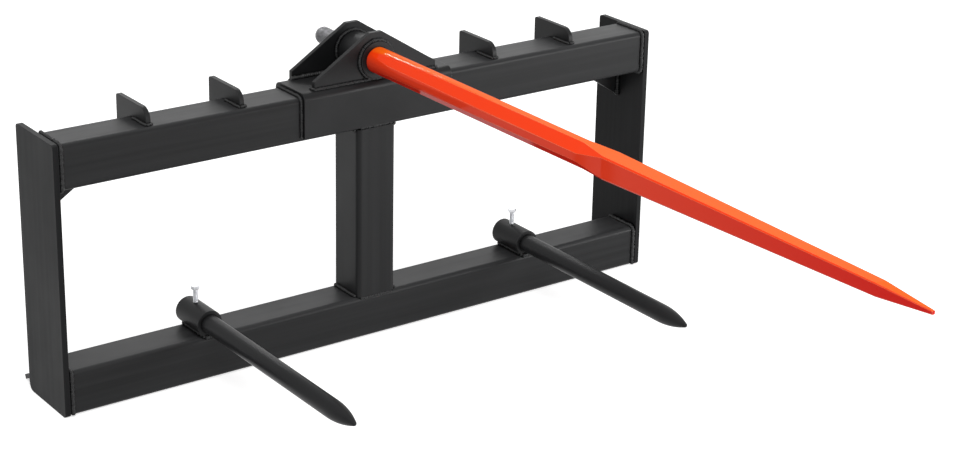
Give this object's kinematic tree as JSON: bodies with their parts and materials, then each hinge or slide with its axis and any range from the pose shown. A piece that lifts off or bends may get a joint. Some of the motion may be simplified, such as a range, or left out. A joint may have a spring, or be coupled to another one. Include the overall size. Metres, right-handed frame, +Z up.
{
  "type": "bale spear",
  "caption": "Loader-mounted bale spear: a welded square-tube quick-attach frame with a long tapered spear on top and shorter stabilizer spikes below.",
  "frame": {"origin": "middle of the flat rear mounting face, on the centre post's back, half way up the frame", "axes": "+X to the right seen from the front, +Y back into the loader, square to the mounting face, +Z up; the spears point towards -Y"},
  "size_m": [1.181, 1.425, 0.5462],
  "materials": {
    "frame_paint": "satin black powder coat",
    "stabilizer_paint": "satin charcoal paint",
    "spear_paint": "glossy red-orange paint",
    "nut_steel": "plain dull steel",
    "zinc_bolt": "bright zinc plate"
  },
  "bodies": {
    "root": {"bottom_flange": "frame_paint", "bottom_tube": "frame_paint", "centre_post": "frame_paint", "front_spear_plate": "frame_paint", "left_collar": "frame_paint", "left_corner_gusset": "frame_paint", "left_end_plate": "frame_paint", "left_inner_rib": "frame_paint", "left_outer_rib": "frame_paint", "left_set_bolt": "zinc_bolt", "left_stabilizer": "stabilizer_paint", "main_spear": "spear_paint", "rear_spear_plate": "frame_paint", "right_collar": "frame_paint", "right_corner_gusset": "frame_paint", "right_end_plate": "frame_paint", "right_inner_rib": "frame_paint", "right_outer_rib": "frame_paint", "right_set_bolt": "zinc_bolt", "right_stabilizer": "stabilizer_paint", "saddle": "frame_paint", "spear_nut": "nut_steel", "spear_sleeve": "frame_paint", "spear_washer": "nut_steel", "top_lip": "frame_paint", "top_tube": "frame_paint"}
  },
  "joints": []
}
